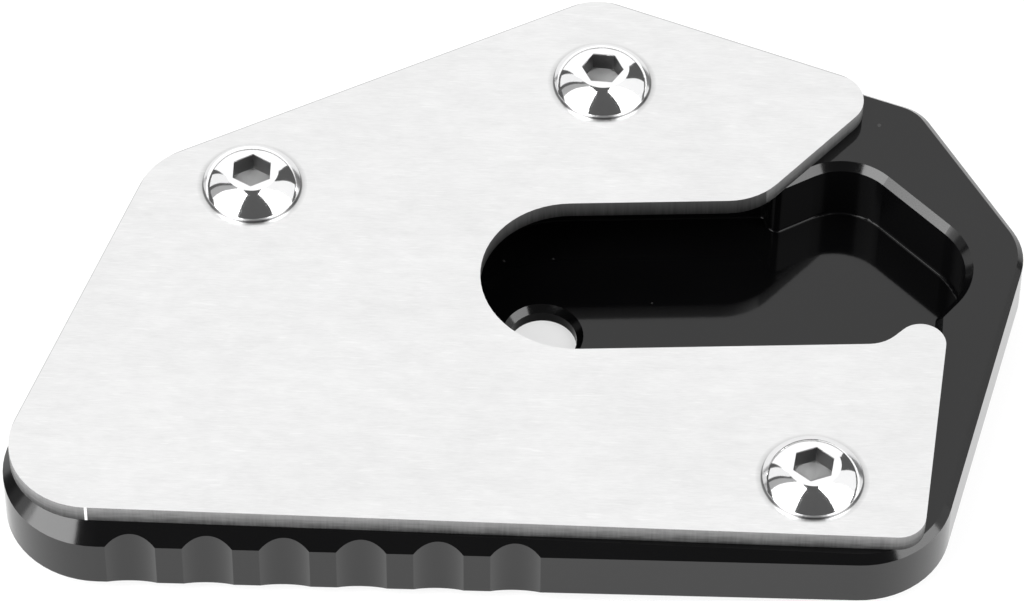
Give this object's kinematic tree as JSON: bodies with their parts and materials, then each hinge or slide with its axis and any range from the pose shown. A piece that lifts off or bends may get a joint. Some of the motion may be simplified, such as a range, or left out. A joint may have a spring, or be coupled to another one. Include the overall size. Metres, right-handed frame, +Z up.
{
  "type": "motorcycle side stand foot enlarger",
  "caption": "Widened foot for a motorcycle side stand: a bevelled base with a scalloped edge and a foot pocket, closed by a screwed C-shaped clamp plate.",
  "frame": {"origin": "bottom centre of the whole object's bounding box, on the flat underside", "axes": "+X along the straight scalloped edge towards the open mouth of the plate, +Y away from the scalloped edge towards the rear point, +Z up through the plate"},
  "size_m": [0.1076, 0.0757, 0.0149],
  "materials": {
    "black_anodised": "gloss black anodised, machined smooth",
    "brushed_plate": "fine brushed along X",
    "polished_screw": "polished"
  },
  "bodies": {
    "root": {"base_plate": "black_anodised", "top_plate": "brushed_plate", "screw_rear_left": "polished_screw", "screw_rear_middle": "polished_screw", "screw_front_right": "polished_screw"}
  },
  "joints": []
}
